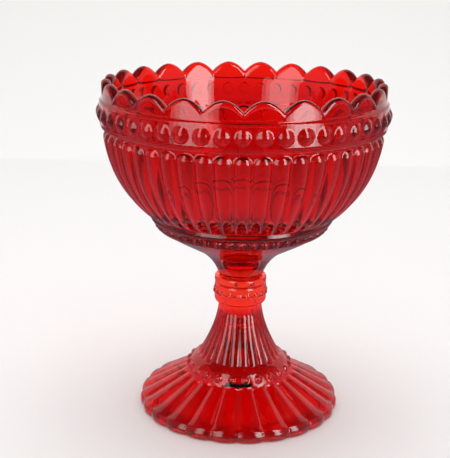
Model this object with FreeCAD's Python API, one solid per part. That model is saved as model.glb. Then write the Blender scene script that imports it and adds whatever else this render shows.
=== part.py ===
import FreeCAD, Part
import math
import os

from FreeCAD import Vector

# Footed bowl of pressed red glass: a bowl and a hollow foot, each pressed in its own mould and joined hot
# with a small wafer of glass. Z is up, the foot stands on Z = 0 and Z is the axis of the bowl.
# All sizes are in millimetres. A bow is how far an arc stands off its chord, as a share of the chord.

# Foot: fluted apron, rounded ring, ribbed pedestal and beaded collar
FOOT_RADIUS = 47.3
FOOT_EDGE_HEIGHT = 4.4
FLUTE_COUNT = 24
FLUTE_DEPTH = 1.3
FLUTE_SCALLOP = 1.0
APRON_RISE = 12.4
RING_RADIUS = 25.2
RING_HEIGHT = 7.0
RING_LEDGE = 1.2
RING_BOW = 0.095
RING_BEAD_RADIUS = 1.3
RING_BEAD_STAND = 0.7
PEDESTAL_FOOT_RADIUS = 19.4
PEDESTAL_TOP_RADIUS = 10.1
PEDESTAL_HEIGHT = 27.0
PEDESTAL_CURVE = 1.7
PEDESTAL_RIB_DEPTH = 0.8
COLLAR_STAND = 1.9
COLLAR_HEIGHT = 9.8
COLLAR_ROUND = 1.1
COLLAR_BEAD_COUNT = 18
COLLAR_BEAD_RADIUS = 1.2
COLLAR_BEAD_STAND = 0.8

# Hollow under the foot
STANDING_RIM_WIDTH = 3.6
FOOT_WALL = 4.8
APRON_HOLLOW_BOW = 0.025
STEM_HOLLOW_BOW = 0.048
HOLLOW_TIP_RADIUS = 4.5
STEM_SOLID_HEIGHT = 22.0

# Wafer that joins the foot to the bowl
WAFER_HEIGHT = 3.5
WAFER_SHOULDER_HEIGHT = 1.1
WAFER_BOW = 0.1

# Bowl: flare, ledge, ribbed wall, beaded band and scalloped rim
FLARE_FOOT_RADIUS = 10.1
FLARE_HEIGHT = 23.2
FLARE_RADIUS = 37.6
ELBOW_SHARE_OUT = 0.32
ELBOW_SHARE_UP = 0.5
ELBOW_BOW = 0.096
LEDGE_SEAT = 1.4
LEDGE_SEAT_HEIGHT = 3.2
LEDGE_STAND = 3.0
LEDGE_RING_HEIGHT = 3.7
LEDGE_BEAD_RADIUS = 1.4
LEDGE_BEAD_STAND = 1.2
BOWL_INNER_RADIUS = 58.4
FLOOR_RADIUS = 9.9
FLOOR_DROP = 4.2
INSIDE_DRAW = 0.7
KNEE_SHARE_OUT = 0.745
KNEE_SHARE_UP = 0.311
FLOOR_BOW = 0.123
SIDE_BOW = 0.064
WALL_THICKNESS = 4.7
WALL_HEIGHT = 39.4
WALL_FOOT_STAND = 0.7
WALL_ROUNDNESS = 0.788
WALL_ARC_RISE = 2.5
WALL_RIB_COUNT = 48
WALL_RIB_DEPTH = 2.2
RIB_END_HEIGHT = 3.6
BAND_THICKNESS = 5.9
BAND_HEIGHT = 13.0
BAND_ROUND = 1.4
BAND_BEAD_RADIUS = 3.3
BAND_BEAD_STAND = 1.5
BAND_BEAD_HEIGHT = 7.4
RIM_THICKNESS = 4.8
RIM_HEIGHT = 8.4
SCALLOP_COUNT = 24
SCALLOP_DEPTH = 4.6

# Curves are made of short straight runs, and what is fused to another form is first sunk into it
CHORDS_PER_RIB = 4
RUNS_PER_LOBE = 4
RUNS_PER_ROUND = 3
RUNS_PER_SWEEP = 5
WALL_STEPS = 6
PEDESTAL_STEPS = 5
BEAD_SIDES = 8
BEAD_TIERS = 3
BEAD_TOP_ANGLE = math.radians(70)
QUARTER_BOW = (math.sqrt(2) - 1) / 2
SINK = 2.0

# Heights and radii that follow from the sizes above
RING_Z = FOOT_EDGE_HEIGHT + APRON_RISE
PEDESTAL_Z = RING_Z + RING_HEIGHT
COLLAR_Z = PEDESTAL_Z + PEDESTAL_HEIGHT
WAFER_Z = COLLAR_Z + COLLAR_HEIGHT
BOWL_Z = WAFER_Z + WAFER_HEIGHT
LEDGE_Z = BOWL_Z + FLARE_HEIGHT
LEDGE_RING_Z = LEDGE_Z + LEDGE_SEAT_HEIGHT
WALL_Z = LEDGE_RING_Z + LEDGE_RING_HEIGHT
BAND_Z = WALL_Z + WALL_HEIGHT
RIM_Z = BAND_Z + BAND_HEIGHT
TOP_Z = RIM_Z + RIM_HEIGHT
WALL_ARC_Z = BAND_Z + WALL_ARC_RISE

RING_TOP_RADIUS = PEDESTAL_FOOT_RADIUS + RING_LEDGE
COLLAR_RADIUS = PEDESTAL_TOP_RADIUS + COLLAR_STAND
COLLAR_TOP_RADIUS = COLLAR_RADIUS - COLLAR_ROUND
SEAT_RADIUS = FLARE_RADIUS + LEDGE_SEAT
LEDGE_RADIUS = SEAT_RADIUS + LEDGE_STAND
WALL_FOOT_RADIUS = LEDGE_RADIUS + WALL_FOOT_STAND
WALL_RADIUS = BOWL_INNER_RADIUS + WALL_THICKNESS
BAND_RADIUS = BOWL_INNER_RADIUS + BAND_THICKNESS
RIM_RADIUS = BOWL_INNER_RADIUS + RIM_THICKNESS


# Outlines and patterns


def at(radius, z):
    """Point of a half outline, in the XZ plane."""
    return Vector(radius, 0, z)


def bowed(start, end, bow, runs=RUNS_PER_ROUND):
    """Points after start of an arc to end that is bowed to the right of the way it runs."""
    chord = end - start
    right = Vector(chord.z, 0, -chord.x)
    arc = Part.Arc(start, (start + end) * 0.5 + right * bow, end).toShape()
    return arc.discretize(runs + 1)[1:]


def turned(side):
    """Solid of revolution of a side that runs from the lowest point to the highest, closed on the axis."""
    points = [at(0, side[0].z)] + side
    if side[-1].x > 0:
        points.append(at(0, side[-1].z))
    points.append(points[0])
    return Part.Face(Part.makePolygon(points)).revolve(Vector(0, 0, 0), Vector(0, 0, 1), 360)


def ribbed_wire(z, crest_radius, depth, count):
    """Closed outline of equal lobes, each of a few chords, whose valleys lie depth inside the crests."""
    points = []
    for index in range(count * CHORDS_PER_RIB + 1):
        share = index / CHORDS_PER_RIB
        off_crest = 2 * (share - round(share))
        radius = crest_radius - depth * off_crest**2
        angle = 2 * math.pi * share / count
        points.append(Vector(radius * math.cos(angle), radius * math.sin(angle), z))
    return Part.makePolygon(points)


def flat_sided_wire(z, radius, count):
    """Closed outline of equal flat sides that touch a circle of that radius, one of them facing along X."""
    corner = radius / math.cos(math.pi / count)
    points = []
    for index in range(count + 1):
        angle = 2 * math.pi * (index + 0.5) / count
        points.append(Vector(corner * math.cos(angle), corner * math.sin(angle), z))
    return Part.makePolygon(points)


def patterned(shape, count):
    """Copies of a shape, evenly spaced round the Z axis."""
    copies = []
    for index in range(count):
        copy = shape.copy()
        copy.rotate(Vector(0, 0, 0), Vector(0, 0, 1), index * 360.0 / count)
        copies.append(copy)
    return copies


def bead_outline(seat, width, height):
    """Corners of a bead round a point of its wall, at a height above it, the first one repeated at the end."""
    corners = []
    for index in range(BEAD_SIDES + 1):
        angle = 2 * math.pi * (index + 0.5) / BEAD_SIDES
        corners.append(seat + Vector(height, width * math.cos(angle), width * math.sin(angle)))
    return corners


def bead(radius, stand, seat):
    """Flat-sided dome that stands out from seat along X, on a root sunk behind it."""
    outlines = [bead_outline(seat, radius, -2 * stand)]
    for index in range(BEAD_TIERS):
        share = index / (BEAD_TIERS - 1)
        width = radius * math.cos(BEAD_TOP_ANGLE * share)
        outlines.append(bead_outline(seat, width, stand * math.sqrt(share)))
    faces = [Part.Face(Part.makePolygon(outlines[0])), Part.Face(Part.makePolygon(outlines[-1]))]
    for low, high in zip(outlines, outlines[1:]):
        for side in range(BEAD_SIDES):
            corners = [low[side], low[side + 1], high[side + 1], high[side], low[side]]
            faces.append(Part.Face(Part.makePolygon(corners)))
    return Part.Solid(Part.Shell(faces))


def bead_row(count, radius, stand, seat, lean=0.0):
    """Beads that stand proud of a wall at seat, each turned up by lean degrees."""
    one = bead(radius, stand, seat)
    one.rotate(seat, Vector(0, 1, 0), -lean)
    return patterned(one, count)


# Foot


def apron():
    """Shallow cone of convex flutes that run out to a scalloped upright edge."""
    run_per_rise = (FOOT_RADIUS - RING_RADIUS) / APRON_RISE
    slope = math.atan2(1.0, run_per_rise)
    crest_rise = FLUTE_DEPTH / math.cos(slope)
    sections = []
    for z in (0.0, RING_Z):
        crest = RING_RADIUS + (RING_Z + crest_rise - z) * run_per_rise
        depth = FLUTE_DEPTH / math.sin(slope) * crest / FOOT_RADIUS
        sections.append(ribbed_wire(z, crest, depth, FLUTE_COUNT))
    cone = Part.makeLoft(sections, True, True)
    edge = Part.Face(ribbed_wire(0.0, FOOT_RADIUS, FLUTE_SCALLOP, FLUTE_COUNT))
    return cone.common(edge.extrude(Vector(0, 0, RING_Z)))


def ring():
    """Rounded ring between the apron and the pedestal, with a small bead over each flute."""
    low = at(RING_RADIUS, RING_Z)
    high = at(RING_TOP_RADIUS, PEDESTAL_Z)
    round_side = bowed(low, high, RING_BOW)
    lean = math.degrees(math.atan2(low.x - high.x, high.z - low.z))
    row = bead_row(FLUTE_COUNT, RING_BEAD_RADIUS, RING_BEAD_STAND, round_side[0], lean)
    return turned([at(RING_RADIUS, RING_Z - SINK), low] + round_side).multiFuse(row)


def pedestal():
    """Ribbed stem that narrows in one hollow curve up to the collar."""
    sections = []
    for index in range(PEDESTAL_STEPS + 1):
        share = index / PEDESTAL_STEPS
        spread = (PEDESTAL_FOOT_RADIUS - PEDESTAL_TOP_RADIUS) * (1 - share) ** PEDESTAL_CURVE
        crest = PEDESTAL_TOP_RADIUS + spread
        depth = PEDESTAL_RIB_DEPTH * crest / PEDESTAL_FOOT_RADIUS
        sections.append(ribbed_wire(PEDESTAL_Z + share * PEDESTAL_HEIGHT, crest, depth, FLUTE_COUNT))
    return Part.makeLoft(sections, True, True)


def collar():
    """Barrel under the wafer, with a row of small beads."""
    low = at(COLLAR_TOP_RADIUS, COLLAR_Z)
    low_side = at(COLLAR_RADIUS, COLLAR_Z + COLLAR_ROUND)
    high_side = at(COLLAR_RADIUS, WAFER_Z - COLLAR_ROUND)
    high = at(COLLAR_TOP_RADIUS, WAFER_Z)
    side = [low] + bowed(low, low_side, QUARTER_BOW) + [high_side] + bowed(high_side, high, QUARTER_BOW)
    seat = at(COLLAR_RADIUS, (COLLAR_Z + WAFER_Z) / 2)
    return turned(side).multiFuse(bead_row(COLLAR_BEAD_COUNT, COLLAR_BEAD_RADIUS, COLLAR_BEAD_STAND, seat))


def foot_hollow():
    """Space under the foot: a flat cone below the apron that runs up into the pedestal."""
    tip = at(0, WAFER_Z - STEM_SOLID_HEIGHT)
    rim = at(FOOT_RADIUS - FLUTE_SCALLOP - STANDING_RIM_WIDTH, 0)
    throat = at(RING_TOP_RADIUS - FOOT_WALL, RING_Z)
    neck = at(HOLLOW_TIP_RADIUS, tip.z - HOLLOW_TIP_RADIUS)
    side = [rim] + bowed(rim, throat, APRON_HOLLOW_BOW)
    side += bowed(throat, neck, -STEM_HOLLOW_BOW)
    return turned(side + bowed(neck, tip, QUARTER_BOW))


def foot():
    """Foot, turned so that a groove between two of its flutes lies along X."""
    solid = apron().multiFuse([ring(), pedestal(), collar()]).cut(foot_hollow())
    return solid.rotated(Vector(0, 0, 0), Vector(0, 0, 1), 180.0 / FLUTE_COUNT)


# Wafer


def joining_wafer():
    """Small cone of glass between the collar and the bowl, as wide as each where it meets them."""
    low = at(COLLAR_TOP_RADIUS, WAFER_Z)
    shoulder = at(COLLAR_RADIUS, WAFER_Z + WAFER_SHOULDER_HEIGHT)
    top = at(FLARE_FOOT_RADIUS, BOWL_Z)
    return turned([low] + bowed(low, shoulder, WAFER_BOW) + bowed(shoulder, top, WAFER_BOW))


# Bowl


def flare_and_ledge():
    """Hollow curve from the wafer out to a row of beads and the ring that the ribs stand on."""
    low = at(FLARE_FOOT_RADIUS, BOWL_Z)
    elbow_radius = FLARE_FOOT_RADIUS + ELBOW_SHARE_OUT * (FLARE_RADIUS - FLARE_FOOT_RADIUS)
    elbow = at(elbow_radius, BOWL_Z + ELBOW_SHARE_UP * FLARE_HEIGHT)
    seat_low = at(FLARE_RADIUS, LEDGE_Z)
    seat_high = at(SEAT_RADIUS, LEDGE_RING_Z)
    crest = at(LEDGE_RADIUS, LEDGE_RING_Z + LEDGE_RING_HEIGHT / 2)
    high = at(SEAT_RADIUS, WALL_Z)
    side = [low] + bowed(low, elbow, -ELBOW_BOW, RUNS_PER_SWEEP)
    side += [seat_low, seat_high] + bowed(seat_high, crest, QUARTER_BOW) + bowed(crest, high, QUARTER_BOW)
    seat = (seat_low + seat_high) * 0.5
    return turned(side).multiFuse(bead_row(WALL_RIB_COUNT, LEDGE_BEAD_RADIUS, LEDGE_BEAD_STAND, seat))


def wall_radius(z):
    """Radius over the rib crests at a height: part of a quarter ellipse, upright at its top."""
    share = (WALL_ARC_Z - z) / (WALL_ARC_Z - WALL_Z)
    full_draw = 1 - math.sqrt(1 - WALL_ROUNDNESS**2)
    draw = 1 - math.sqrt(1 - (WALL_ROUNDNESS * share) ** 2)
    return WALL_RADIUS - (WALL_RADIUS - WALL_FOOT_RADIUS) * draw / full_draw


def ribbed_wall():
    """Wall of convex ribs that rise from the ledge to rounded ends under the band."""
    end_z = BAND_Z - RIB_END_HEIGHT
    sections = [ribbed_wire(WALL_Z - SINK, LEDGE_RADIUS - SINK, WALL_RIB_DEPTH, WALL_RIB_COUNT)]
    for index in range(WALL_STEPS + 1):
        z = WALL_Z + (end_z - WALL_Z) * index / WALL_STEPS
        sections.append(ribbed_wire(z, wall_radius(z), WALL_RIB_DEPTH, WALL_RIB_COUNT))
    for index in range(1, RUNS_PER_ROUND):
        angle = math.pi / 2 * index / RUNS_PER_ROUND
        z = end_z + RIB_END_HEIGHT * math.sin(angle)
        depth = WALL_RIB_DEPTH * math.cos(angle)
        crest = wall_radius(z) - WALL_RIB_DEPTH + depth
        sections.append(ribbed_wire(z, crest, depth, WALL_RIB_COUNT))
    sections.append(ribbed_wire(BAND_Z + SINK, wall_radius(BAND_Z) - WALL_RIB_DEPTH, 0.0, WALL_RIB_COUNT))
    return Part.makeLoft(sections, True, True)


def band_and_rim():
    """Band with a bead on each of its flat sides, and the rim set back above it."""
    low = at(BAND_RADIUS - BAND_ROUND, BAND_Z)
    side = [at(BOWL_INNER_RADIUS, BAND_Z - SINK), low]
    side += bowed(low, at(BAND_RADIUS, BAND_Z + BAND_ROUND), QUARTER_BOW) + [at(BAND_RADIUS, RIM_Z)]
    band = Part.makeLoft([flat_sided_wire(point.z, point.x, WALL_RIB_COUNT) for point in side], True, True)
    rim = Part.Face(flat_sided_wire(RIM_Z - SINK, RIM_RADIUS, WALL_RIB_COUNT))
    seat = at(BAND_RADIUS, BAND_Z + BAND_BEAD_HEIGHT)
    row = bead_row(WALL_RIB_COUNT, BAND_BEAD_RADIUS, BAND_BEAD_STAND, seat)
    return band.multiFuse([rim.extrude(Vector(0, 0, TOP_Z - RIM_Z + 2 * SINK))] + row)


def scallop_cutters():
    """Tools for the gaps between the lobes of the rim, each from a crest down to a valley and up again."""
    half_pitch = RIM_RADIUS * math.tan(math.pi / SCALLOP_COUNT)
    start = BOWL_INNER_RADIUS - SINK
    points = []
    for index in range(-RUNS_PER_LOBE, RUNS_PER_LOBE + 1):
        off_valley = index / RUNS_PER_LOBE
        drop = SCALLOP_DEPTH * (1 - abs(off_valley)) ** 2
        points.append(Vector(start, half_pitch * off_valley, TOP_Z - drop))
    points.append(Vector(start, half_pitch, TOP_Z + 2 * SINK))
    points.append(Vector(start, -half_pitch, TOP_Z + 2 * SINK))
    points.append(points[0])
    cutter = Part.Face(Part.makePolygon(points)).extrude(Vector(RIM_RADIUS, 0, 0))
    return patterned(cutter, SCALLOP_COUNT)


def bowl_hollow():
    """Inside of the bowl: round from its flat floor to a knee, then steeper but still leaning out to the lip."""
    floor_edge = at(FLOOR_RADIUS, WALL_Z - FLOOR_DROP)
    lip_low = at(BOWL_INNER_RADIUS - INSIDE_DRAW, RIM_Z)
    span = lip_low - floor_edge
    knee = floor_edge + Vector(KNEE_SHARE_OUT * span.x, 0, KNEE_SHARE_UP * span.z)
    side = [floor_edge] + bowed(floor_edge, knee, FLOOR_BOW, RUNS_PER_SWEEP)
    side += bowed(knee, lip_low, SIDE_BOW, RUNS_PER_SWEEP)
    return turned(side + [at(BOWL_INNER_RADIUS, TOP_Z), at(BOWL_INNER_RADIUS, TOP_Z + 3 * SINK)])


def bowl():
    rim = band_and_rim().cut(scallop_cutters())
    return flare_and_ledge().multiFuse([ribbed_wall(), rim]).cut(bowl_hollow())


def main():
    os.makedirs("parts", exist_ok=True)
    nodes = {"bowl": bowl(), "joining_wafer": joining_wafer(), "foot": foot()}
    for name, shape in nodes.items():
        solid = shape.Solids[0]
        solid.exportStep("parts/" + name + ".step")
        print(name, "solids", len(shape.Solids), "valid", solid.isValid(), "volume", round(solid.Volume))


main()
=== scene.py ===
import math

import bpy
import numpy as np
from mathutils import Matrix, Vector


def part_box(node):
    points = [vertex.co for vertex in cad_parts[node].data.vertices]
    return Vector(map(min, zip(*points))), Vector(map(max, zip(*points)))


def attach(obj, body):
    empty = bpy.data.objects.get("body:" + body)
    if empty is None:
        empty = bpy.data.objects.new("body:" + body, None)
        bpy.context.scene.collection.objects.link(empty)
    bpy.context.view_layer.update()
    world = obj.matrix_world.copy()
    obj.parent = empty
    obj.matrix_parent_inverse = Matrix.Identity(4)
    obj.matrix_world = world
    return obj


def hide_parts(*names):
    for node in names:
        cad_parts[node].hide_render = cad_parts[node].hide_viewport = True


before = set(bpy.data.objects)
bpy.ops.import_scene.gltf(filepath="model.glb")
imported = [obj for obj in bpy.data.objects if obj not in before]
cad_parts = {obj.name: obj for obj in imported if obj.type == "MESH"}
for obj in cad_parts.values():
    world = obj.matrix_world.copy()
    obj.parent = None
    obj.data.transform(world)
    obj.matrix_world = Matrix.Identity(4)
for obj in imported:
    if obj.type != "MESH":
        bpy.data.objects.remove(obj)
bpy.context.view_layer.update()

# Lengths are in metres, and MM turns the object's millimetres into them.
MM = 0.001
TAU = 2 * math.pi

BOWL_LOW, BOWL_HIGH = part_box("bowl")
WAFER_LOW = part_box("joining_wafer")[0]
BOWL_Z = BOWL_LOW[2] / MM
WAFER_Z = WAFER_LOW[2] / MM
TOP_Z = BOWL_HIGH[2] / MM
JOINT_GAP = 0.01

RIB_COUNT = 48
SCALLOP_COUNT = 24
FLUTE_COUNT = 24
COLLAR_BEADS = 18
COLLAR_TURN = math.radians(2.5)

# Bowl
LEDGE_BEAD_RADIUS, LEDGE_BEAD_Z = 39.0, 89.4
WALL_RADIUS, WALL_ARC, WALL_ARC_Z = 63.1, 53.2, 136.1
RIB_DEPTH = 2.0
RIB_END_Z, RIB_END_LENGTH = 129.4, 3.6
BAND_RADIUS, BAND_BEAD_Z = 64.35, 140.95
SCALLOP_DEPTH = 4.6
RIM_RADIUS, RIM_Z = 63.3, 147.0
LIP_DROP = 2.0
LIP_INNER_RADIUS, INSIDE_RADIUS, INSIDE_Z = 58.5, 57.7, 146.0
BOWL_FLOOR_Z = 90.0

# Foot
FOOT_RADIUS, SCALLOP_INSET = 47.25, 1.0
HOLLOW_TIP_RADIUS, HOLLOW_TIP_Z = 4.5, 34.1
APRON_OUT_RADIUS, APRON_OUT_Z = 46.75, 5.0
APRON_IN_RADIUS, APRON_IN_Z = 25.4, 16.9
RING_BEAD_RADIUS, RING_BEAD_Z = 24.0, 20.2
PEDESTAL_LOW_RADIUS, PEDESTAL_LOW_Z = 19.6, 24.0
PEDESTAL_HIGH_RADIUS, PEDESTAL_HIGH_Z = 10.1, 50.6
COLLAR_BEAD_RADIUS, COLLAR_BEAD_Z = 12.0, 56.2


# ---------------------------------------------------------------- outlines


def spline(points, count):
    """Evenly spaced points along a smooth line through the given ones."""
    points = np.array(points, float)
    chord = np.sqrt(((points[1:] - points[:-1]) ** 2).sum(1)) ** 0.5
    knots = np.concatenate([[0], np.cumsum(chord)])
    slopes = np.gradient(points, knots, axis=0)
    fine = np.linspace(0, knots[-1], 40 * len(points))
    span = np.clip(np.searchsorted(knots, fine, side="right") - 1, 0, len(points) - 2)
    width = knots[span + 1] - knots[span]
    t = ((fine - knots[span]) / width)[:, None]
    width = width[:, None]
    curve = (
        (2 * t**3 - 3 * t**2 + 1) * points[span]
        + (t**3 - 2 * t**2 + t) * width * slopes[span]
        + (3 * t**2 - 2 * t**3) * points[span + 1]
        + (t**3 - t**2) * width * slopes[span + 1]
    )
    length = np.concatenate([[0], np.cumsum(np.sqrt(((curve[1:] - curve[:-1]) ** 2).sum(1)))])
    even = np.linspace(0, length[-1], count)
    return np.stack([np.interp(even, length, curve[:, 0]), np.interp(even, length, curve[:, 1])], 1)


def arc(centre, radius, start, end, count):
    """Points of an arc in the half plane, between two angles in degrees from the outward direction."""
    angle = np.radians(np.linspace(start, end, count))
    return np.stack([centre[0] + radius * np.cos(angle), centre[1] + radius * np.sin(angle)], 1)


def run(start, end, count):
    """Evenly spaced points of a straight run, without its first point."""
    share = np.linspace(0, 1, count + 1)[1:, None]
    return np.array(start) + (np.array(end) - np.array(start)) * share


def smoothstep(low, high, x):
    t = np.clip((x - low) / (high - low), 0, 1)
    return t * t * (3 - 2 * t)


def off_crest(angle, count):
    """Distance from the nearest crest in half pitches, from 0 at a crest to 1 in a groove."""
    share = angle * count / TAU
    return 2 * np.abs(share - np.round(share))


def rib(distance, half_pitch, depth):
    """How far a rounded rib of that depth falls off at a distance from its crest, given in half pitches."""
    radius = (half_pitch**2 + depth**2) / (2 * depth)
    return radius - np.sqrt(np.maximum(radius**2 - (distance * half_pitch) ** 2, 0))


def dome(across, along, half_width, half_height, stand):
    """How far a rounded bead stands out at a point, given from its centre."""
    reach = (across / half_width) ** 2 + (along / half_height) ** 2
    return stand * (1 - np.minimum(reach, 1))


# ---------------------------------------------------------------- meshes


def all_round(outline, columns):
    """Radius and height of each point of an outline, the same all the way round."""
    return np.repeat(outline[:, :1], columns, 1), np.repeat(outline[:, 1:], columns, 1)


def bead_distance(half_pitches, radius, count):
    """Distance along a circle from the nearest of its beads, in a row."""
    return (half_pitches * math.pi * radius / count)[None]


def turned_mesh(name, radius, height, angles, joints, low_axis, high_axis):
    """Closed mesh of rows of points round the Z axis.

    radius and height hold one row of millimetres per point of the outline, from the lower end to the
    upper one. A fan closes each end on the axis, at low_axis and high_axis. The fans named in joints,
    "low" or "high", get the second material.
    """
    rows, columns = radius.shape
    x = radius * np.sin(angles)[None]
    y = -radius * np.cos(angles)[None]
    points = np.stack([x, y, height], -1).reshape(-1, 3) * MM
    first_pole = len(points)
    poles = np.array([[0, 0, low_axis], [0, 0, high_axis]]) * MM
    points = np.concatenate([points, poles])
    here = np.arange(rows * columns).reshape(rows, columns)
    after = np.roll(here, -1, 1)
    quads = np.stack([here[:-1], after[:-1], after[1:], here[1:]], -1).reshape(-1, 4)
    faces = quads.tolist()
    faces += [(first_pole, int(b), int(a)) for a, b in zip(here[0], after[0])]
    faces += [(first_pole + 1, int(a), int(b)) for a, b in zip(here[-1], after[-1])]
    mesh = bpy.data.meshes.new(name)
    mesh.from_pydata(points.tolist(), [], faces)
    joint = np.zeros(len(faces), bool)
    if "low" in joints:
        joint[len(quads) : len(quads) + columns] = True
    if "high" in joints:
        joint[len(quads) + columns :] = True
    mesh.polygons.foreach_set("material_index", joint.astype(np.int32))
    mesh.polygons.foreach_set("use_smooth", ~joint)
    mesh.update()
    piece = bpy.data.objects.new(name, mesh)
    bpy.context.scene.collection.objects.link(piece)
    return piece


def bowl_piece():
    columns = RIB_COUNT * 14
    angles = np.arange(columns) * TAU / columns
    ribs_off = off_crest(angles, RIB_COUNT)
    lobe_off = 1 - off_crest(angles, SCALLOP_COUNT)

    # Flare, seat with its small beads, and ledge
    base_radius, base_height = all_round(np.concatenate([
        spline([(10.1, BOWL_Z + JOINT_GAP), (10.9, 66.2), (12.3, 69.0), (14.6, 72.2), (18.6, 75.9),
                (24.4, 79.3), (30.9, 82.9), (37.0, 86.6)], 34),
        spline([(37.0, 86.6), (38.4, 87.3), (38.9, 88.6), (39.0, 90.6)], 14)[1:],
        spline([(39.0, 90.6), (40.6, 91.0), (41.7, 92.0), (42.0, 93.1), (41.7, 94.2), (41.6, 95.0)], 12)[1:],
    ]), columns)
    off_bead = bead_distance(ribs_off, LEDGE_BEAD_RADIUS, RIB_COUNT)
    base_radius += dome(off_bead, base_height - LEDGE_BEAD_Z, 1.75, 1.6, 1.25)

    # Ribbed wall: one arc over the crests, with rounded rib ends below the band
    wall_z = np.concatenate([np.linspace(95.3, 126.5, 30), np.linspace(127.2, 133.2, 16)])
    crest = WALL_RADIUS - WALL_ARC + np.sqrt(WALL_ARC**2 - (WALL_ARC_Z - wall_z) ** 2)
    half_pitch = math.pi * crest / RIB_COUNT
    depth = RIB_DEPTH * (half_pitch / half_pitch.max()) ** 0.6
    depth *= 0.75 + 0.25 * smoothstep(94.5, 99.5, wall_z)
    up = np.maximum(wall_z - RIB_END_Z, 0)[:, None] / RIB_END_LENGTH
    distance = np.sqrt(ribs_off[None] ** 2 + up**2)
    wall_radius = crest[:, None] - rib(np.minimum(distance, 1), half_pitch[:, None], depth[:, None])
    wall_height = np.repeat(wall_z[:, None], columns, 1)

    # Band with its large beads
    band_radius, band_height = all_round(np.concatenate([
        spline([(61.6, 133.7), (62.9, 134.0), (64.0, 135.0), (BAND_RADIUS, 136.6)], 8),
        run((BAND_RADIUS, 136.6), (BAND_RADIUS, 145.4), 22),
        spline([(BAND_RADIUS, 145.4), (64.2, 146.1), (63.7, 146.5), (63.35, RIM_Z)], 7)[1:],
    ]), columns)
    off_bead = bead_distance(ribs_off, BAND_RADIUS, RIB_COUNT)
    band_radius += dome(off_bead, band_height - BAND_BEAD_Z, 3.2, 3.45, 1.45)

    # Rim: its height follows the lobes, and its lip is rounded
    top = TOP_Z - 0.02 - SCALLOP_DEPTH * (0.08 * lobe_off + 0.92 * lobe_off**2)
    side_share = np.linspace(0.12, 1, 6)[:, None]
    side_height = RIM_Z + side_share * (top[None] - LIP_DROP - RIM_Z)
    side_radius = np.full_like(side_height, RIM_RADIUS)
    lip = spline([(RIM_RADIUS, -LIP_DROP), (63.1, -1.0), (62.4, -0.25), (61.2, 0.0), (59.9, -0.3),
                  (58.9, -1.3), (LIP_INNER_RADIUS, -2.4)], 13)[1:]
    lip_radius, lip_drop = all_round(lip, columns)
    lip_height = top[None] + lip_drop
    inner_share = np.linspace(0.25, 1, 4)[:, None]
    inner_height = lip_height[-1:] + inner_share * (INSIDE_Z - lip_height[-1:])
    inner_radius = LIP_INNER_RADIUS - 0.8 * inner_share + 0 * inner_height

    # Smooth inside and its flat floor
    inside_radius, inside_height = all_round(
        spline([(INSIDE_RADIUS, INSIDE_Z), (56.4, 138.0), (54.4, 128.0), (51.0, 117.5), (45.5, 107.6),
                (37.0, 98.9), (25.0, 92.4), (10.0, BOWL_FLOOR_Z)], 34)[1:], columns)
    floor_radius, floor_height = all_round(
        np.array([[7.0, BOWL_FLOOR_Z], [4.0, BOWL_FLOOR_Z], [1.5, BOWL_FLOOR_Z]]), columns)

    radius = np.concatenate([base_radius, wall_radius, band_radius, side_radius, lip_radius, inner_radius,
                             inside_radius, floor_radius])
    height = np.concatenate([base_height, wall_height, band_height, side_height, lip_height, inner_height,
                             inside_height, floor_height])
    return turned_mesh("bowl_glass", radius, height, angles, ("low",), BOWL_Z + JOINT_GAP, BOWL_FLOOR_Z)


def wafer_piece():
    columns = 240
    angles = np.arange(columns) * TAU / columns
    radius, height = all_round(
        spline([(11.3, WAFER_Z + JOINT_GAP), (11.85, 60.85), (12.0, 61.3), (12.0, 62.9), (11.8, 63.6),
                (11.1, 63.95), (10.1, BOWL_Z)], 30), columns)
    return turned_mesh("wafer_glass", radius, height, angles, ("low", "high"), WAFER_Z + JOINT_GAP, BOWL_Z)


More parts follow.
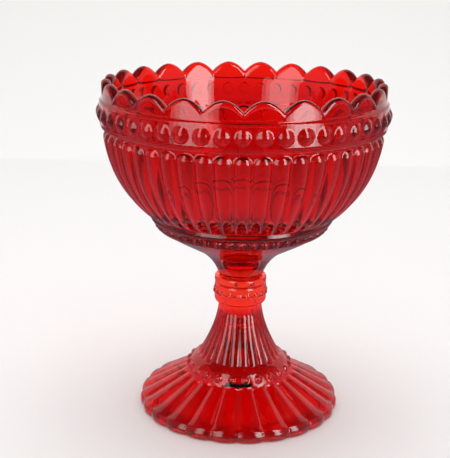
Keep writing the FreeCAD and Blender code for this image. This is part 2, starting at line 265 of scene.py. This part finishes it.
def foot_piece():
    columns = FLUTE_COUNT * 24
    angles = np.arange(columns) * TAU / columns
    flute_off = 1 - off_crest(angles, FLUTE_COUNT)
    edge = FOOT_RADIUS - SCALLOP_INSET * flute_off**2

    # Hollow underneath, from its tip down to the standing rim
    hollow_radius, hollow_height = all_round(np.concatenate([
        arc((0, HOLLOW_TIP_Z), HOLLOW_TIP_RADIUS, 90, 10, 8)[1:],
        spline([(HOLLOW_TIP_RADIUS, HOLLOW_TIP_Z), (6.2, 29.5), (9.2, 24.0), (12.3, 19.8), (15.8, 16.8)], 12)[1:],
        spline([(15.8, 16.8), (24.0, 12.9), (33.0, 7.6), (40.0, 2.6), (42.4, 0.5)], 14)[1:],
    ]), columns)
    radius, height = [hollow_radius], [hollow_height]

    # Standing rim and scalloped edge
    for inset, z in ((4.2, 0.05), (3.6, 0.0), (1.5, 0.0), (0.7, 0.12), (0.2, 0.6), (0.0, 1.3), (0.0, 2.6),
                     (0.1, 3.2)):
        radius.append((edge - inset)[None])
        height.append(np.full((1, columns), z))

    # Apron of convex flutes, which starts at the scalloped edge
    share = np.concatenate([[0, 0.008, 0.02, 0.035], np.linspace(0.06, 1, 20)])
    crest_r = APRON_OUT_RADIUS + (APRON_IN_RADIUS - APRON_OUT_RADIUS) * share
    crest_z = APRON_OUT_Z + (APRON_IN_Z - APRON_OUT_Z) * share
    half_pitch = math.pi * crest_r / FLUTE_COUNT
    depth = (0.2 + 1.35 * (crest_r / 47.0)) * (0.4 + 0.6 * smoothstep(0, 0.2, share))
    fall = rib(flute_off[None], half_pitch[:, None], depth[:, None])
    at_edge = (1 - smoothstep(0, 0.035, share))[:, None]
    radius.append(crest_r[:, None] - 0.45 * fall - at_edge * (FOOT_RADIUS - edge - 0.45 * fall))
    height.append(crest_z[:, None] - 0.85 * fall - 0.7 * at_edge)

    # Rounded ring with small beads
    ring_radius, ring_height = all_round(
        spline([(25.3, APRON_IN_Z), (24.8, 18.6), (23.8, 20.6), (22.5, 22.3), (21.1, 23.5), (20.0, 24.1)], 18)[1:],
        columns)
    off_bead = bead_distance(flute_off, RING_BEAD_RADIUS, FLUTE_COUNT)
    bead = dome(off_bead, ring_height - RING_BEAD_Z, 1.7, 1.6, 1.0)
    radius.append(ring_radius + 0.8 * bead)
    height.append(ring_height + 0.6 * bead)

    # Ribbed pedestal
    share = np.linspace(0.02, 1, 30)
    crest_r = PEDESTAL_HIGH_RADIUS + (PEDESTAL_LOW_RADIUS - PEDESTAL_HIGH_RADIUS) * (1 - share) ** 1.7
    crest_z = PEDESTAL_LOW_Z + (PEDESTAL_HIGH_Z - PEDESTAL_LOW_Z) * share
    half_pitch = math.pi * crest_r / FLUTE_COUNT
    depth = 0.05 + 0.8 * (crest_r / 19.4) ** 3
    fall = rib(flute_off[None], half_pitch[:, None], np.minimum(depth, half_pitch)[:, None])
    radius.append(crest_r[:, None] - fall * smoothstep(-0.05, 0.08, share)[:, None])
    height.append(np.repeat(crest_z[:, None], columns, 1))

    # Collar with small beads
    collar_radius, collar_height = all_round(
        spline([(10.3, 50.8), (11.3, 51.1), (12.0, 52.4), (12.05, 56.0), (12.0, 59.6), (11.7, 60.2),
                (11.1, WAFER_Z)], 30), columns)
    share = (angles + COLLAR_TURN) * COLLAR_BEADS / TAU
    off_bead = np.abs(share - np.round(share)) * TAU / COLLAR_BEADS * COLLAR_BEAD_RADIUS
    collar_radius += dome(off_bead[None], collar_height - COLLAR_BEAD_Z, 1.5, 1.5, 0.8)
    radius.append(collar_radius)
    height.append(collar_height)

    return turned_mesh("foot_glass", np.concatenate(radius), np.concatenate(height), angles, ("high",),
                       HOLLOW_TIP_Z + HOLLOW_TIP_RADIUS, WAFER_Z)


# ---------------------------------------------------------------- materials


def glass(name, density):
    material = bpy.data.materials.new(name)
    material.use_nodes = True
    tree = material.node_tree
    tree.nodes.clear()
    link = tree.links.new
    # Red of the glass by height: the glass's own red, orange round the joint, with painted shade at the foot's
    # upright edge and painted light and shade in the other rises and dips, which match how bright each part looks.
    coords = tree.nodes.new("ShaderNodeTexCoord")
    split = tree.nodes.new("ShaderNodeSeparateXYZ")
    link(coords.outputs["Object"], split.inputs[0])
    ramp = tree.nodes.new("ShaderNodeValToRGB")
    scale = tree.nodes.new("ShaderNodeMapRange")
    scale.inputs["From Min"].default_value = 0.0
    scale.inputs["From Max"].default_value = 0.155
    link(split.outputs["Z"], scale.inputs["Value"])
    link(scale.outputs["Result"], ramp.inputs["Fac"])
    stops = ramp.color_ramp.elements
    # Painted shade: the lowest stops darken the foot's upright edge. The other dips and rises in the red are
    # partly painted shade and light.
    stops[0].position, stops[0].color = 0.0, (0.38, 0.003, 0.010, 1)
    stops[1].position, stops[1].color = 1.0, (1.0, 0.014, 0.004, 1)
    for position, color in (
        (0.018, (0.50, 0.004, 0.012, 1)),
        (0.030, (0.97, 0.005, 0.007, 1)),
        (0.11, (0.97, 0.005, 0.007, 1)),
        (0.135, (0.58, 0.004, 0.006, 1)),
        (0.17, (0.45, 0.0035, 0.005, 1)),
        (0.25, (0.48, 0.004, 0.006, 1)),
        (0.30, (0.92, 0.012, 0.007, 1)),
        (0.32, (1.0, 0.024, 0.008, 1)),
        (0.38, (0.85, 0.035, 0.012, 1)),
        (0.43, (1.0, 0.040, 0.010, 1)),
        (0.46, (0.66, 0.004, 0.005, 1)),
        (0.49, (0.90, 0.005, 0.006, 1)),
        (0.52, (1.0, 0.006, 0.008, 1)),
        (0.58, (0.92, 0.005, 0.007, 1)),
        (0.68, (0.80, 0.005, 0.007, 1)),
        (0.82, (0.71, 0.005, 0.006, 1)),
        (0.90, (0.74, 0.005, 0.005, 1)),
        (0.945, (0.90, 0.010, 0.004, 1)),
    ):
        stop = stops.new(position)
        stop.color = color
    shader = tree.nodes.new("ShaderNodeBsdfPrincipled")
    shader.inputs["Transmission Weight"].default_value = 1.0
    shader.inputs["IOR"].default_value = 1.5
    shader.inputs["Roughness"].default_value = 0.02
    link(ramp.outputs["Color"], shader.inputs["Base Color"])
    # Faint waves that pressing leaves in the surface
    waves = tree.nodes.new("ShaderNodeTexNoise")
    waves.inputs["Scale"].default_value = 90.0
    waves.inputs["Detail"].default_value = 2.0
    link(coords.outputs["Object"], waves.inputs["Vector"])
    bump = tree.nodes.new("ShaderNodeBump")
    bump.inputs["Strength"].default_value = 0.12
    bump.inputs["Distance"].default_value = 0.0004
    link(waves.outputs["Fac"], bump.inputs["Height"])
    link(bump.outputs["Normal"], shader.inputs["Normal"])
    fill(tree, shader, density)
    return material


def fill(tree, shader, density):
    """Give a material its surface and, if its density is above nought, a red that grows with depth."""
    out = tree.nodes.new("ShaderNodeOutputMaterial")
    tree.links.new(shader.outputs[0], out.inputs["Surface"])
    if density > 0:
        absorb = tree.nodes.new("ShaderNodeVolumeAbsorption")
        absorb.inputs["Color"].default_value = (0.80, 0.10, 0.12, 1)
        absorb.inputs["Density"].default_value = density
        tree.links.new(absorb.outputs[0], out.inputs["Volume"])


def joint_face(name, density):
    """Where two pieces of glass are fused, light passes straight through."""
    material = bpy.data.materials.new(name + "_joint")
    material.use_nodes = True
    tree = material.node_tree
    tree.nodes.clear()
    clear = tree.nodes.new("ShaderNodeBsdfTransparent")
    fill(tree, clear, density)
    return material


def studio_world():
    world = bpy.data.worlds.new("studio")
    bpy.context.scene.world = world
    world.use_nodes = True
    tree = world.node_tree
    tree.nodes.clear()
    link = tree.links.new
    coords = tree.nodes.new("ShaderNodeTexCoord")
    split = tree.nodes.new("ShaderNodeSeparateXYZ")
    link(coords.outputs["Generated"], split.inputs[0])
    # Dark side of the studio, in front of the object
    ramp = tree.nodes.new("ShaderNodeMapRange")
    ramp.interpolation_type = "SMOOTHSTEP"
    ramp.inputs["From Min"].default_value = -0.80
    ramp.inputs["From Max"].default_value = -0.30
    ramp.inputs["To Min"].default_value = 0.20
    ramp.inputs["To Max"].default_value = 1.0
    link(split.outputs["Y"], ramp.inputs["Value"])
    # Reflections see a room that is dim at the sides and darker still overhead
    overhead = tree.nodes.new("ShaderNodeMapRange")
    overhead.interpolation_type = "SMOOTHSTEP"
    overhead.inputs["From Min"].default_value = 0.30
    overhead.inputs["From Max"].default_value = 0.75
    overhead.inputs["To Min"].default_value = 0.42
    overhead.inputs["To Max"].default_value = 0.10
    link(split.outputs["Z"], overhead.inputs["Value"])
    mirrored = tree.nodes.new("ShaderNodeMath")
    mirrored.operation = "MULTIPLY"
    link(ramp.outputs["Result"], mirrored.inputs[0])
    link(overhead.outputs["Result"], mirrored.inputs[1])
    white = tree.nodes.new("ShaderNodeBackground")
    white.inputs["Color"].default_value = (0.88, 0.85, 0.86, 1)
    white.inputs["Strength"].default_value = 1.0
    room = tree.nodes.new("ShaderNodeBackground")
    room.inputs["Color"].default_value = (1.0, 0.95, 0.96, 1)
    link(ramp.outputs["Result"], room.inputs["Strength"])
    gloss = tree.nodes.new("ShaderNodeBackground")
    gloss.inputs["Color"].default_value = (0.95, 0.80, 0.95, 1)
    link(mirrored.outputs[0], gloss.inputs["Strength"])
    dim = tree.nodes.new("ShaderNodeBackground")
    dim.inputs["Color"].default_value = (1, 1, 1, 1)
    dim.inputs["Strength"].default_value = 0.85
    rays = tree.nodes.new("ShaderNodeLightPath")
    through = tree.nodes.new("ShaderNodeMixShader")
    link(rays.outputs["Is Transmission Ray"], through.inputs[0])
    link(dim.outputs[0], through.inputs[1])
    link(room.outputs[0], through.inputs[2])
    mix = tree.nodes.new("ShaderNodeMixShader")
    link(rays.outputs["Is Glossy Ray"], mix.inputs[0])
    link(through.outputs[0], mix.inputs[1])
    link(gloss.outputs[0], mix.inputs[2])
    top = tree.nodes.new("ShaderNodeMixShader")
    link(rays.outputs["Is Camera Ray"], top.inputs[0])
    link(mix.outputs[0], top.inputs[1])
    link(white.outputs[0], top.inputs[2])
    out = tree.nodes.new("ShaderNodeOutputWorld")
    link(top.outputs[0], out.inputs["Surface"])


def plain(name, color, roughness):
    material = bpy.data.materials.new(name)
    material.use_nodes = True
    shader = material.node_tree.nodes["Principled BSDF"]
    shader.inputs["Base Color"].default_value = color
    shader.inputs["Roughness"].default_value = roughness
    return material


def softbox(name, place, target, width, height, power):
    lamp = bpy.data.lights.new(name, "AREA")
    lamp.shape = "RECTANGLE"
    lamp.size = width
    lamp.size_y = height
    lamp.energy = power
    holder = bpy.data.objects.new(name, lamp)
    bpy.context.scene.collection.objects.link(holder)
    holder.location = place
    holder.rotation_euler = (Vector(target) - Vector(place)).to_track_quat("-Z", "Y").to_euler()
    return holder


def painted_floor_shade_card():
    """Ring on the floor round the foot, seen only in reflections: a painted reflection of floor in shade, dark
    grey and darkest towards the camera.
    """
    sides = 48
    points = []
    for radius in (0.054, 1.6):
        for index in range(sides):
            angle = TAU * index / sides
            points.append((radius * math.cos(angle), radius * math.sin(angle), 0.0005))
    faces = [(i, (i + 1) % sides, sides + (i + 1) % sides, sides + i) for i in range(sides)]
    mesh = bpy.data.meshes.new("painted_floor_shade_card")
    mesh.from_pydata(points, [], faces)
    card = bpy.data.objects.new("painted_floor_shade_card", mesh)
    bpy.context.scene.collection.objects.link(card)
    material = plain("painted_floor_shade_card", (0.3, 0.3, 0.3, 1), 0.9)
    tree = material.node_tree
    coords = tree.nodes.new("ShaderNodeTexCoord")
    split = tree.nodes.new("ShaderNodeSeparateXYZ")
    tree.links.new(coords.outputs["Object"], split.inputs[0])
    ramp = tree.nodes.new("ShaderNodeValToRGB")
    scale = tree.nodes.new("ShaderNodeMapRange")
    scale.inputs["From Min"].default_value = -0.40
    scale.inputs["From Max"].default_value = 0.20
    tree.links.new(split.outputs["Y"], scale.inputs["Value"])
    tree.links.new(scale.outputs["Result"], ramp.inputs["Fac"])
    # Painted shade: the card darkens towards the camera, where the glass mirrors a floor in shade.
    stops = ramp.color_ramp.elements
    stops[0].position, stops[0].color = 0.0, (0.03, 0.03, 0.035, 1)
    stops[1].position, stops[1].color = 1.0, (0.12, 0.10, 0.13, 1)
    for position, color in ((0.4, (0.17, 0.15, 0.19, 1)), (0.62, (0.38, 0.33, 0.42, 1))):
        stop = stops.new(position)
        stop.color = color
    tree.links.new(ramp.outputs["Color"], tree.nodes["Principled BSDF"].inputs["Base Color"])
    mesh.materials.append(material)
    card.visible_camera = False
    card.visible_diffuse = False
    card.visible_shadow = False
    card.visible_transmission = False


def studio():
    half_width, z, front, sweep_start, sweep_radius, steps = 5.0, -0.00005, -5.0, 0.5, 1.3, 24
    mesh = bpy.data.meshes.new("floor")
    profile = [(front, z), (sweep_start, z)]
    for index in range(1, steps + 1):
        angle = math.pi / 2 * index / steps
        across, rise = sweep_radius * math.sin(angle), sweep_radius - sweep_radius * math.cos(angle)
        profile.append((sweep_start + across, z + rise))
    profile.append((sweep_start + sweep_radius, 3.0))
    points = []
    for y, height in profile:
        points += [(-half_width, y, height), (half_width, y, height)]
    faces = [(2 * i, 2 * i + 1, 2 * i + 3, 2 * i + 2) for i in range(len(profile) - 1)]
    mesh.from_pydata(points, [], faces)
    mesh.polygons.foreach_set("use_smooth", [True] * len(faces))
    floor = bpy.data.objects.new("floor", mesh)
    bpy.context.scene.collection.objects.link(floor)
    mesh.materials.append(plain("pale_floor", (0.88, 0.87, 0.86, 1), 0.6))
    studio_world()
    # Each softbox is brighter in its middle, and only the glass sees it
    for name, place, width, power in (
        ("left_softbox", (-0.34, -0.46, 0.45), 0.30, 5.6),
        ("right_softbox", (0.42, -0.42, 0.45), 0.24, 9.6),
    ):
        for share, part in ((0.72, 0.40), (1.0, 0.35), (1.28, 0.25)):
            lamp = softbox(name, place, (0, 0, 0.45), width * share, 0.9, power * part)
            lamp.visible_diffuse = False
    # The light overhead is not mirrored in the glass
    lamp = softbox("top_light", (0, 0.2, 1.2), (0, 0, 0), 1.0, 1.0, 6.8)
    lamp.visible_glossy = False
    painted_floor_shade_card()


def camera():
    focal = 1027.0 / 458.0 * 36.0
    pitch, yaw, roll = math.radians(16.37), math.radians(-0.96), math.radians(0.857)
    ahead = Vector((math.sin(yaw) * math.cos(pitch), math.cos(yaw) * math.cos(pitch), -math.sin(pitch)))
    right = Vector((math.cos(yaw), -math.sin(yaw), 0))
    up = right.cross(ahead)
    across = math.cos(roll) * right + math.sin(roll) * up
    upward = -math.sin(roll) * right + math.cos(roll) * up
    data = bpy.data.cameras.new("camera")
    data.lens = focal
    data.sensor_width = 36.0
    holder = bpy.data.objects.new("camera", data)
    bpy.context.scene.collection.objects.link(holder)
    rows = [[across[i], upward[i], -ahead[i]] for i in range(3)]
    holder.matrix_world = Matrix.Translation((0, -0.4556, 0.2192)) @ Matrix(rows).to_4x4()
    bpy.context.scene.camera = holder


scene = bpy.context.scene
scene.view_settings.view_transform = "Standard"
scene.cycles.max_bounces = 24
scene.cycles.transmission_bounces = 24
scene.cycles.transparent_max_bounces = 24
scene.cycles.glossy_bounces = 12

camera()
studio()
# Only the bowl takes on red with depth: on the foot as well, that red turned the wafer's ring black
for piece, cad, slot, density in (
    (bowl_piece(), "bowl", "bowl_glass", 76.0),
    (wafer_piece(), "joining_wafer", "wafer_glass", 0.0),
    (foot_piece(), "foot", "foot_glass", 0.0),
):
    piece.data.materials.append(glass(slot, density))
    piece.data.materials.append(joint_face(slot, density))
    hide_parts(cad)
    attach(piece, "root")
